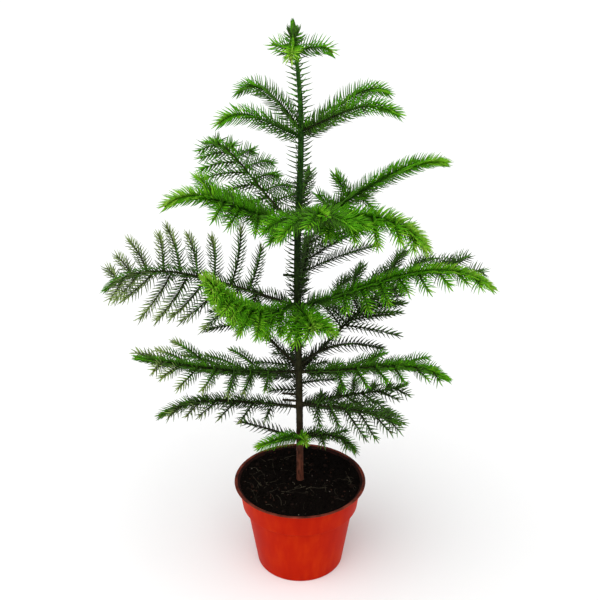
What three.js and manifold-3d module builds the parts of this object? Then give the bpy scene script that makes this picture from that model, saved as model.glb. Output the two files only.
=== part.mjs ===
// A young Norfolk Island pine in a round plastic nursery pot, in millimetres, +Z up.
// The origin is the middle of the pot's flat underside. Azimuth 0 points along +X and 90 along +Y.
import * as THREE from "three";
import { mergeVertices } from "three/addons/utils/BufferGeometryUtils.js";
import Module from "manifold-3d";

const wasm = await Module();
wasm.setup();

const DEG = Math.PI / 180;
const GAP = 0.3; // clearance between neighbouring pieces

// Pot: a tapered body, a stepped collar and a thin lip that flares out
const POT_SIDES = 36;
const POT_HEIGHT = 84;
const POT_WALL = 1.2;
const POT_FLOOR = 1.6;
const FOOT_RADIUS = 40;
const FOOT_ROUND = 1.2;
const BODY_TOP_RADIUS = 49.3;
const COLLAR_BOTTOM = 60;
const COLLAR_BOTTOM_RADIUS = 53;
const COLLAR_TOP = 81;
const COLLAR_TOP_RADIUS = 56;
const RIM_RADIUS = 60;
const LIP_THICKNESS = 1.4;
const DRAIN_HOLES = 6;
const DRAIN_RADIUS = 3.5;
const DRAIN_CIRCLE = 27;
const DRAIN_SIDES = 8;

// Soil: filled nearly to the lip and heaped a little towards the trunk
const SOIL_TOP = 83;
const SOIL_EDGE = 82;
const SOIL_RADIUS = 55;
const SOIL_SHOULDER = 24;

// Trunk: nearly straight, with a slight sway and a tip that leans to the left
const TRUNK_SIDES = 10;
const TRUNK_STEPS = 26;
const TRUNK_TIP = 470;
const PLANT_TOP = 482;
const TRUNK_SWAY = 2.2;
const TRUNK_CROSSING = 0.68; // share of the height at which the sway passes from left to right
const TRUNK_LEAN = 6;
const TRUNK_LEAN_POWER = 7; // the higher, the nearer to the tip the lean starts
const TRUNK_RADIUS = 3.05;
const TRUNK_TAPER = 2.2;
const TRUNK_TAPER_POWER = 4;
const TRUNK_RING_POWER = 1.5; // draws the trunk's rings closer together at the root flare
const ROOT_FLARE = 0.3;
const ROOT_FLARE_HEIGHT = 5;

// Stubs of limbs that were cut off
const STUB_RADIUS = 1.1;
const STUB_RISE = 6;
const STUBS = [
  { height: 164, azimuth: 184, length: 12 },
  { height: 170, azimuth: 180, length: 12 },
  { height: 277, azimuth: 350, length: 7 },
  { height: 281, azimuth: 186, length: 9 },
];

// Limbs: each rises by its rise, curves up by its lift and droops towards its tip by its droop, in degrees
const LIMB_SIDES = 5;
const LIMB_PIECES = 24; // short straight pieces that a limb's line is summed from
const BOUGH_STEPS = 2;
const BOUGH_SHARE = 0.17; // share of a limb that is bare bough, before its spray starts
const BOUGH_RADIUS = 1.7;
const STEM_RADIUS = 1.4;
const STEM_TIP_RADIUS = 0.5;
const WHORL_STEP = 2; // limbs of one tier leave the trunk this much above and below its height in turn

// Sprays: stems are slim square cores that pairs of needles stand out of, in turn beside and above them,
// and twigs are three-sided ridges with a toothed edge of needles on each side
const STEM_SIDES = 4;
const TWIG_SIDES = 3;
const NEEDLE_REACH = 8.5;
const NEEDLE_LEAN = 0.75; // how far a needle leans forward, as a share of the step between rings
const NEEDLE_SHORTENING = 0.4; // share of its reach that a needle loses towards the tip
const NEEDLE_NEAR_TRUNK = 0.26; // needles beside the trunk reach this share of their distance to it
const STEM_PITCH = 11;
const PLUME_TWIG = 30; // a limb whose twigs are no longer than this is a plume of longer needles
const PLUME_PITCH = 6;
const PLUME_REACH = 10.5;
const TWIG_PITCH = 9;
const TWIG_STAGGER = 0.25; // how far twigs on the two sides are staggered, as a share of their spacing
const TWIG_INNER_SHARE = 0.45; // share of the full length that a twig would have at the trunk
const TWIG_INNER_GAIN = 1.6; // what it gains from there along the limb
const TWIG_OUTER_SHARE = 0.2; // share of the full length that a twig would have at the limb's tip
const TWIG_OUTER_GAIN = 1.9; // what it gains from there towards the trunk
const TWIG_LENGTH_SCATTER = 0.12;
const TWIG_CLOSING = 34; // how much less a twig spreads at the limb's tip than at its foot
const TWIG_SPREAD_SCATTER = 8;
const TWIG_TILT_SCATTER = 11;
const TWIG_CURL = 8;
const SEED_PER_LIMB = 17;
const SEED_PER_TWIG = 3;
const TWIG_RADIUS = 0.9;
const TWIG_TIP_RADIUS = 0.35;
const TWIG_SHORTEST = 9;
const TWIG_TRIES = [1, 0.8, 0.6, 0.42]; // shares of its length at which a twig is tried for room
const TWIG_CLEARANCE = 0.5;
const TUFT_PITCH = 4;
const TUFT_REACH = 5;
const TUFT_TAPER = 0.6;

// How a limb's twigs stand if nothing else is given: roll tilts the flat spray about its stem, spread is the
// angle between limb and twig at the limb's foot, vee raises the twigs on both sides, sag is how far their
// tips hang, as a share of their length, spacing is their distance, and first and last are the shares of the
// limb where they start and end
const STANCE = { roll: 0, spread: 80, vee: 0, sag: 0.2, spacing: 15, first: 0.2, last: 0.96 };

// Limb with its bends and with the length of its longest twigs to the left and right, seen from the trunk
function limbOf(side, azimuth, length, [rise, lift, droop], [left, right] = [0, 0], stance = {}) {
  return { side, azimuth, length, rise, lift, droop, left, right, ...STANCE, ...stance };
}

// Tiers of limbs, from the ground up
const TIERS = [
  {
    name: "tier1", height: 127, bare: false, branches: [
      limbOf("left_back", 165, 57, [12, 0, 10]),
      limbOf("left_front", 205, 40, [2, 0, 20]),
      limbOf("front", 283, 24, [34, 0, 40]),
      limbOf("right", 335, 58, [18, 0, 85], [14, 14]),
    ],
  },
  {
    name: "tier2", height: 160, bare: true, branches: [
      limbOf("right", 15, 101, [15, -40, -40], [34, 32]),
      limbOf("back", 95, 90, [12, 5, 15], [36, 36]),
      limbOf("left", 184, 125, [8, 5, 50], [26, 12]),
      limbOf("right_front", 331, 95, [5, 14, 36], [36, 36], { spread: 56 }),
    ],
  },
  {
    name: "tier3", height: 195, bare: true, branches: [
      limbOf("right", 346, 130, [2, 42, 78], [38, 28]),
      limbOf("right_back", 20, 84, [44, -92, -25]),
      limbOf("back_right", 42, 130, [26, 5, 20], [40, 50], { vee: 14, sag: 0.2, spacing: 6, first: 0.45 }),
      limbOf("back_left", 127, 118, [13, 10, 20], [48, 40], { first: 0.6 }),
      limbOf("left", 202, 143, [7, 20, 8], [36, 46], { roll: 10, spread: 72, vee: 8 }),
    ],
  },
  {
    name: "tier4", height: 256, bare: true, branches: [
      limbOf("right", 350, 167, [15, 34, 92], [52, 22], { roll: -16, spread: 84 }),
      limbOf("back", 85, 125, [12, 10, 30], [0, 80], { vee: 30, spacing: 14, first: 0.3 }),
      limbOf("left", 168, 181, [13, 8, 68], [52, 56], { roll: 36, spread: 86, sag: 0 }),
      limbOf("left_front", 232, 124, [-12, 88, 26], [30, 18], { spread: 42, sag: 0.5, spacing: 8 }),
      limbOf("right_front", 286, 48, [0, 0, 8], [24, 30], { spread: 64, sag: 0.35, spacing: 9 }),
    ],
  },
  {
    name: "tier5", height: 326, bare: true, branches: [
      limbOf("right_back", 25, 147, [16, 30, 62], [28, 14], {
        roll: -40, spread: 95, spacing: 13, first: 0.22, last: 0.46,
      }),
      limbOf("back", 82, 80, [25, 0, 30]),
      limbOf("left_back", 134, 131, [17, 58, 88], [38, 44], { sag: 0.35, spacing: 14 }),
      limbOf("left_front", 206, 115, [2, 79, 114], [24, 30], { roll: 25, spacing: 12, last: 0.72 }),
      limbOf("front", 282, 98, [24, 0, 18], [40, 38], { sag: 0.35 }),
      limbOf("right_front", 330, 116, [10, 12, 78], [14, 28], { sag: 0.4 }),
    ],
  },
  {
    name: "tier6", height: 398, bare: false, branches: [
      limbOf("right_back", 36, 96, [26, 18, 74]),
      limbOf("left_back", 138, 79, [44, -15, 70]),
      limbOf("left_front", 212, 74, [20, 28, 84]),
      limbOf("right_front", 322, 91, [23, 12, 62]),
    ],
  },
  {
    name: "tier7", height: 461, bare: false, branches: [
      limbOf("right", 8, 28, [14, 0, 55]),
      limbOf("back", 90, 22, [20, 0, 0]),
      limbOf("left", 195, 17, [18, 0, 0]),
      limbOf("front", 262, 22, [-10, 0, 40]),
    ],
  },
];

const potPlastic = new THREE.MeshStandardMaterial({ color: 0xd9401d, roughness: 0.45, metalness: 0 });
const peat = new THREE.MeshStandardMaterial({ color: 0x1d1512, roughness: 0.95, metalness: 0 });
const bark = new THREE.MeshStandardMaterial({ color: 0x4a3423, roughness: 0.9, metalness: 0 });
const needles = new THREE.MeshStandardMaterial({ color: 0x4f7a35, roughness: 0.6, metalness: 0 });

// Solid of a closed geometry: shared vertices are merged and collapsed faces on an axis are dropped
function solidOf(geometry) {
  const bare = geometry.clone();
  bare.deleteAttribute("normal");
  bare.deleteAttribute("uv");
  const merged = mergeVertices(bare);
  const index = merged.index.array;
  const faces = [];
  for (let i = 0; i < index.length; i += 3) {
    const [a, b, c] = [index[i], index[i + 1], index[i + 2]];
    if (a !== b && b !== c && c !== a) faces.push(a, b, c);
  }
  const vertProperties = new Float32Array(merged.attributes.position.array);
  return new wasm.Manifold(new wasm.Mesh({ numProp: 3, vertProperties, triVerts: new Uint32Array(faces) }));
}

function meshOf(name, solid, material) {
  const { vertProperties, triVerts } = solid.getMesh();
  const geometry = new THREE.BufferGeometry();
  geometry.setAttribute("position", new THREE.BufferAttribute(vertProperties, 3));
  geometry.setIndex(new THREE.BufferAttribute(triVerts, 1));
  geometry.computeVertexNormals();
  const mesh = new THREE.Mesh(geometry, material);
  mesh.name = name;
  return mesh;
}

// Solid turned about the Z axis from its half section, given as radius and height
function turned(section) {
  const profile = section.map(([radius, height]) => new THREE.Vector2(radius, height));
  return solidOf(new THREE.LatheGeometry(profile, POT_SIDES).rotateX(Math.PI / 2));
}

// Tube with closed ends whose rings stand across a curve. across(t) is a ring's sideways direction, and
// corner(ring, number, t) gives how far a corner stands out from the curve and how far forward along it.
function tubeAlong(curve, sides, steps, across, corner) {
  const geometry = new THREE.CylinderGeometry(1, 1, 1, sides, steps);
  const place = geometry.attributes.position;
  for (let i = 0; i < place.count; i++) {
    const t = place.getY(i) + 0.5;
    const ring = Math.round(t * steps);
    const [x, z] = [place.getX(i), place.getZ(i)];
    const number = (Math.round((Math.atan2(x, z) / (2 * Math.PI)) * sides) + sides) % sides;
    const tangent = curve.getTangent(t);
    const sideways = across(t);
    const upward = sideways.clone().cross(tangent).normalize();
    const { out, forward } = corner(ring, number, t);
    const point = curve.getPoint(t).addScaledVector(sideways, x * out).addScaledVector(upward, z * out);
    if (Math.hypot(x, z) > 0.5) point.addScaledVector(tangent, forward);
    place.setXYZ(i, point.x, point.y, point.z);
  }
  return solidOf(geometry);
}

// Repeatable value between -1 and 1 for each seed
function scatter(seed) {
  const wave = Math.sin(seed * 12.9898) * 43758.5453;
  return 2 * (wave - Math.floor(wave)) - 1;
}

function heading(azimuth, slope) {
  const flat = Math.cos(slope * DEG);
  return new THREE.Vector3(
    Math.cos(azimuth * DEG) * flat, Math.sin(azimuth * DEG) * flat, Math.sin(slope * DEG));
}

// Centre of the trunk at a height
function trunkCentre(height) {
  const t = (height - SOIL_TOP) / (PLANT_TOP - SOIL_TOP);
  const sway = TRUNK_SWAY * Math.sin(Math.PI * (t / TRUNK_CROSSING) ** 2);
  return new THREE.Vector3(-sway - TRUNK_LEAN * t ** TRUNK_LEAN_POWER, 0, height);
}

function trunkRadius(height) {
  const t = (height - SOIL_TOP) / (PLANT_TOP - SOIL_TOP);
  const flare = ROOT_FLARE * Math.exp((SOIL_TOP - height) / ROOT_FLARE_HEIGHT);
  return TRUNK_RADIUS - TRUNK_TAPER * t ** TRUNK_TAPER_POWER + flare;
}

// Trunk's line from the soil to its tip
class TrunkCurve extends THREE.Curve {
  heightAt(t) {
    return SOIL_TOP + GAP + (TRUNK_TIP - SOIL_TOP - GAP) * t ** TRUNK_RING_POWER;
  }
  getPoint(t) {
    return trunkCentre(this.heightAt(t));
  }
  getTangent() {
    return new THREE.Vector3(0, 0, 1);
  }
}

// Line of a limb from the trunk to its tip, in the upright plane of its azimuth
class LimbCurve extends THREE.Curve {
  constructor(root, limb) {
    super();
    this.root = root;
    this.limb = limb;
  }
  getTangent(s) {
    const { azimuth, rise, lift, droop } = this.limb;
    return heading(azimuth, rise + lift * s - droop * s ** 3);
  }
  getPoint(s) {
    const share = s / LIMB_PIECES;
    const point = this.root.clone();
    for (let i = 0; i < LIMB_PIECES; i++) {
      point.addScaledVector(this.getTangent((i + 0.5) * share), share * this.limb.length);
    }
    return point;
  }
}

// Stretch of another curve
class StretchCurve extends THREE.Curve {
  constructor(whole, start, end) {
    super();
    this.whole = whole;
    this.shareAt = (t) => start + (end - start) * t;
  }
  getTangent(t) {
    return this.whole.getTangent(this.shareAt(t));
  }
  getPoint(t) {
    return this.whole.getPoint(this.shareAt(t));
  }
}

function makePot() {
  const lipRound = LIP_THICKNESS / 2;
  const shell = turned([
    [0, 0],
    [FOOT_RADIUS - FOOT_ROUND, 0],
    [FOOT_RADIUS, FOOT_ROUND],
    [BODY_TOP_RADIUS, COLLAR_BOTTOM],
    [COLLAR_BOTTOM_RADIUS, COLLAR_BOTTOM + POT_WALL / 2],
    [COLLAR_TOP_RADIUS, COLLAR_TOP],
    [RIM_RADIUS - lipRound, POT_HEIGHT - LIP_THICKNESS],
    [RIM_RADIUS, POT_HEIGHT - lipRound],
    [RIM_RADIUS - lipRound, POT_HEIGHT],
    [RIM_RADIUS - 2 * LIP_THICKNESS, POT_HEIGHT - LIP_THICKNESS / 4],
    [COLLAR_TOP_RADIUS - POT_WALL, COLLAR_TOP + POT_WALL / 2],
    [COLLAR_BOTTOM_RADIUS - POT_WALL, COLLAR_BOTTOM + 1.5 * POT_WALL],
    [BODY_TOP_RADIUS - POT_WALL, COLLAR_BOTTOM + POT_WALL],
    [FOOT_RADIUS - POT_WALL, POT_FLOOR],
    [0, POT_FLOOR],
  ]);
  let pot = shell;
  for (let i = 0; i < DRAIN_HOLES; i++) {
    const turn = (i * 2 * Math.PI) / DRAIN_HOLES;
    const hole = new THREE.CylinderGeometry(DRAIN_RADIUS, DRAIN_RADIUS, 4 * POT_FLOOR, DRAIN_SIDES);
    hole.rotateX(Math.PI / 2).translate(DRAIN_CIRCLE * Math.cos(turn), DRAIN_CIRCLE * Math.sin(turn), 0);
    pot = pot.subtract(solidOf(hole));
  }
  return pot;
}

function makeSoil() {
  const inset = POT_WALL + 2 * GAP;
  return turned([
    [0, POT_FLOOR + GAP],
    [FOOT_RADIUS - inset, POT_FLOOR + GAP],
    [BODY_TOP_RADIUS - inset, COLLAR_BOTTOM + POT_WALL],
    [BODY_TOP_RADIUS - inset, COLLAR_BOTTOM + 2.5 * POT_WALL],
    [COLLAR_BOTTOM_RADIUS - inset, COLLAR_BOTTOM + 2.5 * POT_WALL],
    [COLLAR_TOP_RADIUS - inset, COLLAR_TOP],
    [SOIL_RADIUS, SOIL_EDGE],
    [SOIL_SHOULDER, (SOIL_TOP + SOIL_EDGE) / 2],
    [0, SOIL_TOP],
  ]);
}

// Trunk as one tapering pole, and the same pole grown by a clearance
function makePole(grown) {
  const line = new TrunkCurve();
  const across = () => new THREE.Vector3(1, 0, 0);
  const corner = (ring, number, t) => ({ out: trunkRadius(line.heightAt(t)) + grown, forward: 0 });
  return tubeAlong(line, TRUNK_SIDES, TRUNK_STEPS, across, corner);
}

function makeStub({ height, azimuth, length }) {
  const limb = { azimuth, length: trunkRadius(height) + length, rise: STUB_RISE, lift: 0, droop: 0 };
  return makeLimb(new LimbCurve(trunkCentre(height), limb), () => STUB_RADIUS, 1);
}

// Horizontal direction across a limb, to the right of its tip
function acrossLimb(curve, t) {
  return curve.getTangent(t).cross(new THREE.Vector3(0, 0, 1)).normalize();
}

function makeLimb(curve, radius, steps) {
  const across = (t) => acrossLimb(curve, t);
  return tubeAlong(curve, LIMB_SIDES, steps, across, (ring, number, t) => ({ out: radius(t), forward: 0 }));
}

// Slim core with a pair of needles on every second ring: isNeedle(pair, number) says which of its corners
// they stand out of
function makeNeedleCore(curve, { length, pitch, sides, isNeedle, across, radius, reach }) {
  const pairs = Math.max(1, Math.round(length / pitch));
  const lean = (NEEDLE_LEAN * length) / (2 * pairs);
  const corner = (ring, number, t) => {
    const stands = ring % 2 === 1 && isNeedle((ring - 1) / 2, number);
    return stands ? { out: Math.max(reach(t), radius(t)), forward: lean } : { out: radius(t), forward: 0 };
  };
  return tubeAlong(curve, sides, 2 * pairs, across, corner);
}

// Pairs beside and above a square core in turn, and pairs on the two lower corners of a ridge
const crossedPairs = { sides: STEM_SIDES, isNeedle: (pair, number) => number % 2 === (pair + 1) % 2 };
const sidePairs = { sides: TWIG_SIDES, isNeedle: (pair, number) => number > 0 };

// Limb of a tier with the line it follows
function makeBranch(tier, limb, number) {
  const height = tier.height + (number % 2 ? WHORL_STEP : -WHORL_STEP);
  const line = new LimbCurve(trunkCentre(height), limb);
  const start = tier.bare ? BOUGH_SHARE : 0;
  const thickness = trunkRadius(height) / TRUNK_RADIUS;
  return { tier, limb, number, line, start, thickness };
}

function makeBough({ line, start, thickness }) {
  const bare = new StretchCurve(line, 0, start);
  const radius = (t) => thickness * (BOUGH_RADIUS + (STEM_RADIUS - BOUGH_RADIUS) * t);
  return makeLimb(bare, radius, BOUGH_STEPS);
}

function makeStem({ line, start, limb, thickness }) {
  const first = start > 0 ? start + GAP / limb.length : 0;
  const stretch = new StretchCurve(line, first, 1);
  const radius = (t) => thickness * (STEM_RADIUS + (STEM_TIP_RADIUS - STEM_RADIUS) * t);
  const isPlume = Math.max(limb.left, limb.right) <= PLUME_TWIG;
  const full = isPlume ? PLUME_REACH : NEEDLE_REACH;
  const reach = (t) => {
    const nearTrunk = NEEDLE_NEAR_TRUNK * stretch.shareAt(t) * limb.length;
    return Math.min(full * (1 - NEEDLE_SHORTENING * t), nearTrunk);
  };
  const across = (t) => acrossLimb(stretch, t);
  const pitch = isPlume ? PLUME_PITCH : STEM_PITCH;
  const length = limb.length * (1 - first);
  return makeNeedleCore(stretch, { ...crossedPairs, length, pitch, across, radius, reach });
}

// Side twigs of a limb, every second one of those that the living plant has: where each starts, on which
// side, how long it is and how it stands
function twigsOf({ limb, tier, number }) {
  const { first, last, spacing } = limb;
  const perSide = Math.floor((limb.length * (last - first)) / spacing);
  const twigs = [];
  for (let i = 0; i < perSide; i += 2) {
    for (const side of [-1, 1]) {
      const seed = tier.height + SEED_PER_LIMB * number + SEED_PER_TWIG * i + side;
      const s = first + ((last - first) * (i + TWIG_STAGGER * (1 + side))) / perSide;
      const inner = Math.min(1, TWIG_INNER_SHARE + TWIG_INNER_GAIN * s);
      const outer = Math.min(1, TWIG_OUTER_SHARE + TWIG_OUTER_GAIN * (1 - s));
      const longest = side > 0 ? limb.right : limb.left;
      const length = longest * inner * outer * (1 + TWIG_LENGTH_SCATTER * scatter(seed));
      const spread = limb.spread - TWIG_CLOSING * s + TWIG_SPREAD_SCATTER * scatter(seed + 0.3);
      const tilt = TWIG_TILT_SCATTER * scatter(seed + 0.6);
      twigs.push({ s, side, length, spread, tilt });
    }
  }
  return twigs;
}

// Line of a twig: it leaves the stem at its spread in the tilted plane of the spray, curls forward and sags
function twigCurve({ line, limb }, { s, side, spread, tilt }, length) {
  const base = line.getPoint(s);
  const along = line.getTangent(s);
  const level = acrossLimb(line, s);
  const above = level.clone().cross(along);
  const turn = (limb.roll + side * (limb.vee + tilt)) * DEG;
  const outward = level.clone().multiplyScalar(Math.cos(turn)).addScaledVector(above, Math.sin(turn));
  const towards = (angle, reach) => base.clone()
    .addScaledVector(along, reach * Math.cos(angle * DEG))
    .addScaledVector(outward, side * reach * Math.sin(angle * DEG));
  const middle = towards(spread + TWIG_CURL, length / 2);
  const tip = towards(spread, length).add(new THREE.Vector3(0, 0, -limb.sag * length));
  return new THREE.QuadraticBezierCurve3(base, middle, tip);
}

function makeTwig(branch, twig, length, grown) {
  const line = twigCurve(branch, twig, length);
  const radius = (t) => TWIG_RADIUS + (TWIG_TIP_RADIUS - TWIG_RADIUS) * t + grown;
  const reach = (t) => NEEDLE_REACH * (1 - NEEDLE_SHORTENING * t) + grown;
  const across = (t) => acrossLimb(line, t);
  return makeNeedleCore(line, { ...sidePairs, length, pitch: TWIG_PITCH, across, radius, reach });
}

// Upright tuft of young needles on the trunk's tip
function makeTuft() {
  const line = new THREE.LineCurve3(trunkCentre(TRUNK_TIP + GAP), trunkCentre(PLANT_TOP));
  const radius = (t) => trunkRadius(TRUNK_TIP) * (1 - TUFT_TAPER * t);
  const across = () => new THREE.Vector3(1, 0, 0);
  const reach = () => TUFT_REACH;
  const length = PLANT_TOP - TRUNK_TIP;
  return makeNeedleCore(line, { ...crossedPairs, length, pitch: TUFT_PITCH, across, radius, reach });
}

const plant = new THREE.Group();
const pot = makePot();
const soil = makeSoil();
const poleSpace = makePole(GAP);
const trunk = STUBS.reduce((pole, stub) => pole.add(makeStub(stub)), makePole(0));
const branches = TIERS.flatMap(
  (tier) => tier.branches.map((limb, number) => makeBranch(tier, limb, number)));

for (const branch of branches) {
  branch.bough = branch.start > 0 ? makeBough(branch).subtract(poleSpace) : null;
  branch.spray = makeStem(branch).subtract(poleSpace);
}

function boxesMeet(a, b) {
  return [0, 1, 2].every((axis) => a.min[axis] < b.max[axis] && b.min[axis] < a.max[axis]);
}

// True where a twig keeps clear of the trunk, every bough and every other spray
function hasRoom(twig, own) {
  const box = twig.boundingBox();
  const sprays = branches.filter((branch) => branch !== own).map((branch) => branch.spray);
  const boughs = branches.filter((branch) => branch.bough).map((branch) => branch.bough);
  return [poleSpace, ...boughs, ...sprays].every(
    (other) => !boxesMeet(box, other.boundingBox()) || twig.intersect(other).isEmpty());
}

for (const branch of branches) {
  for (const twig of twigsOf(branch)) {
    const lengths = TWIG_TRIES.map((share) => share * twig.length).filter((length) => length > TWIG_SHORTEST);
    const length = lengths.find((tried) => hasRoom(makeTwig(branch, twig, tried, TWIG_CLEARANCE), branch));
    if (length) branch.spray = branch.spray.add(makeTwig(branch, twig, length, 0));
  }
}

plant.add(meshOf("pot", pot, potPlastic));
plant.add(meshOf("soil", soil, peat));
plant.add(meshOf("trunk", trunk, bark));
plant.add(meshOf("tip_tuft", makeTuft(), needles));
for (const { tier, limb, bough, spray } of branches) {
  if (bough) plant.add(meshOf(`${tier.name}_bough_${limb.side}`, bough, bark));
  plant.add(meshOf(`${tier.name}_spray_${limb.side}`, spray, needles));
}

export default plant;
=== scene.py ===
"""Looks of a young Norfolk Island pine in a nursery pot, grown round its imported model.

The limbs follow the part's own growth rule, in millimetres, with every twig and with fine needles in place
of the solids' few. Azimuth 0 points along +X and 90 along +Y, away from the camera.
"""
import math
from collections import namedtuple

import bmesh
import bpy
import numpy as np
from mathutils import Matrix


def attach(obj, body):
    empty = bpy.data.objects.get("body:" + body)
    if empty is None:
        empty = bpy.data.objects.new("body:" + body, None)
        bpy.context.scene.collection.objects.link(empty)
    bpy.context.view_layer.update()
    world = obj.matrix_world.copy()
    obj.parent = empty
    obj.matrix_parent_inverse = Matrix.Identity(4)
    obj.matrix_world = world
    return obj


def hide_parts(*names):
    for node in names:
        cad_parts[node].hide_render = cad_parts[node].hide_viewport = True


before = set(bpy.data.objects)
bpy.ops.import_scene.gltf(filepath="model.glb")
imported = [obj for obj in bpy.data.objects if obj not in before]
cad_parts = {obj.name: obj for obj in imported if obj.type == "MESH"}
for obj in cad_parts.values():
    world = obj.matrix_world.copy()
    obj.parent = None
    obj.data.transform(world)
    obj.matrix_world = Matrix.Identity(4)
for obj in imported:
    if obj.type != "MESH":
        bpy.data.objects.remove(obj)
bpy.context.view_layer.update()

MM = 0.001
UP = np.array([0.0, 0.0, 1.0])
UPRIGHT = 1e-6  # level part of an axis below which it counts as upright
SCATTER_PITCH = 12.9898
SCATTER_GAIN = 43758.5453
draw = np.random.default_rng(7)

# Pot, with the sizes of the part's source
POT_SIDES = 144
POT_HEIGHT = 84
POT_WALL = 1.2
POT_FLOOR = 1.6
FOOT_RADIUS = 40
FOOT_ROUND = 1.2
BODY_TOP_RADIUS = 49.3
COLLAR_BOTTOM = 60
COLLAR_BOTTOM_RADIUS = 53
COLLAR_TOP = 81
COLLAR_TOP_RADIUS = 56
RIM_RADIUS = 60
LIP_THICKNESS = 1.4
DRAIN_HOLES = 6
DRAIN_RADIUS = 3.5
DRAIN_CIRCLE = 27
DRAIN_SIDES = 24
SHARP_EDGE = 35
INSIDE_SLOPE = 0.3  # how far a face of the pot looks inward to count as its inside
LEVEL_SLOPE = 0.15  # how far it looks up to count as level

# Soil
GAP = 0.3
SOIL_TOP = 83
SOIL_EDGE = 82
SOIL_RADIUS = 55
SOIL_SHOULDER = 24
SOIL_RINGS = 48
SOIL_LUMP = 0.9
SOIL_RIPPLES = (6, 5)  # of a wave, along X and Y
SOIL_BEND = 2
SOIL_BEND_RIPPLE = 3
SOIL_WAVES = ((17, 0.5), (8, 0.3), (3.7, 0.2))  # pitch of each wave of the surface and its share of a lump
RARITY = 3  # the higher it is, the fewer crumbs are large and fibres long
CRUMBS = (1300, 1.6)  # here and below, how many are strewn and how much larger than the smallest they may be
CLUMPS = (70, 3.2)
LITTER = (200, 1.2)
FLECKS = (36, 0.6)
CRUMB_SMALLEST = 0.3
CRUMB_STRETCH = (0.6, 1.2)
CRUMB_ROUGHNESS = (0.65, 1.25)
FIBRES = 110
FIBRE_SHORTEST = 3
FIBRE_LONGEST = 21
FIBRE_POINTS = 9
FIBRE_SIDES = 4
FIBRE_RADII = (0.12, 0.34)
FIBRE_BEND = 1.1
FIBRE_LIFT = 0.3
FIBRE_ARCH = 0.5
FIBRE_TAPER = 0.5
FIBRE_CLEAR = 0.5  # room that fibres leave at the soil's edge
TANGLES = 16
TANGLE_REACH = 6
TANGLE_TAIL = 1.6  # the lower it is, the more fibres lie far from their tangle

# Trunk and limbs
TRUNK_TIP = 470
PLANT_TOP = 482
TRUNK_SWAY = 2.2
TRUNK_CROSSING = 0.68
TRUNK_LEAN = 6
TRUNK_LEAN_POWER = 7
TRUNK_RADIUS = 3.05
TRUNK_SUNK = 1.0
TRUNK_SIDES = 28
TRUNK_RING_STEP = 0.8
TRUNK_TAPER = 2.2
TRUNK_TAPER_POWER = 4
ROOT_FLARE = 0.3
ROOT_FLARE_HEIGHT = 5
WHORL_SWELLING = 0.35
WHORL_SWELLING_HEIGHT = 4
NEEDLES_FROM = 225  # height on the trunk above which it still carries needles
TUFT_SUNK = 2  # how far below the trunk's tip the top tuft starts
TUFT_RISE = 6
TUFT_RADII = (1.2, 0.5)
COLLAR_SHARE = 0.5  # lower stretch of the tuft that also has needles that spread round it
STUB_RADIUS = 1.1
STUB_RISE = 6
STUB_RINGS = 14
STUB_SIDES = 9
STUBS = ((164, 184, 12), (170, 180, 12), (277, 350, 7), (281, 186, 9))  # height, azimuth, length
LIMB_PIECES = 24
DROOP_POWER = 3
BOUGH_SHARE = 0.17
BOUGH_RADIUS = 1.7
STEM_RADIUS = 1.4
STEM_TIP_RADIUS = 0.5
WHORL_STEP = 2  # limbs of a tier start this far below and above its height in turn
BOUGH_NEEDLES_FROM = 0.3  # share of a bough from which it carries needles

# Twigs
TWIG_SPACING = 15
TWIG_FIRST = 0.2
TWIG_LAST = 0.96
TWIG_STAGGER = 0.25
TWIG_INNER_SHARE = 0.45
TWIG_INNER_GAIN = 1.6
TWIG_OUTER_SHARE = 0.2
TWIG_OUTER_GAIN = 1.9
TWIG_LENGTH_SCATTER = 0.12
TWIG_SPREAD = 80  # angle between limb and twig at the limb's foot
TWIG_CLOSING = 34  # how much less it is at the limb's tip
TWIG_SPREAD_SCATTER = 8
TWIG_SAG = 0.2  # how far a twig's tip hangs below its straight line, as a share of its length
TWIG_TILT_SCATTER = 11
TWIG_CURL = 8
SEED_PER_LIMB = 17
SEED_PER_TWIG = 3
TWIG_RADIUS = 0.75
TWIG_TIP_RADIUS = 0.35
TWIG_SHORTEST = 5
PLUME_TWIG = 30  # a limb whose twigs are no longer than this is a plume
SPREAD_SEED = 0.3
TILT_SEED = 0.6

# Buds
BUD_PROFILE = ((0, 0.7), (0.3, 1.1), (0.6, 0.95), (0.85, 0.5), (1, 0.1))  # share of a bud and its radius
BUD_SIDES = 6
BUD_LENGTH = 3.2  # of a bud of size 1, as is the next value
BUD_SUNK = 0.6
TWIG_BUD = 0.55
LIMB_BUD = 0.9
TOP_BUD = 1

# Bark: how many waves make up its relief, how often they go round the stem, how long they are along it, and
# how deep the relief is as a share of the stem's radius
Bark = namedtuple("Bark", "waves turns pitch depth")
TRUNK_BARK = Bark(26, (2, 11), (1.6, 16), 0.035)
STUB_BARK = Bark(12, (1, 5), (1.5, 6), 0.09)
LIMB_BARK = Bark(14, (1, 5), (1.2, 7), 0.1)
STUB_BARK_TURN = 5  # radians of bark round a stub and, below, its millimetres along it
STUB_BARK_LENGTH = 12
BARK_PHASE = 6.3  # of a wave at most, in radians
BARK_SEED = 11

# Wood: sides of its rings and the step from one ring to the next
Wood = namedtuple("Wood", "sides step")
BOUGH_WOOD = Wood(9, 0.9)
LIMB_WOOD = Wood(8, 1.4)
TWIG_WOOD = Wood(6, 2.2)
FEWEST_RINGS = 4

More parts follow.
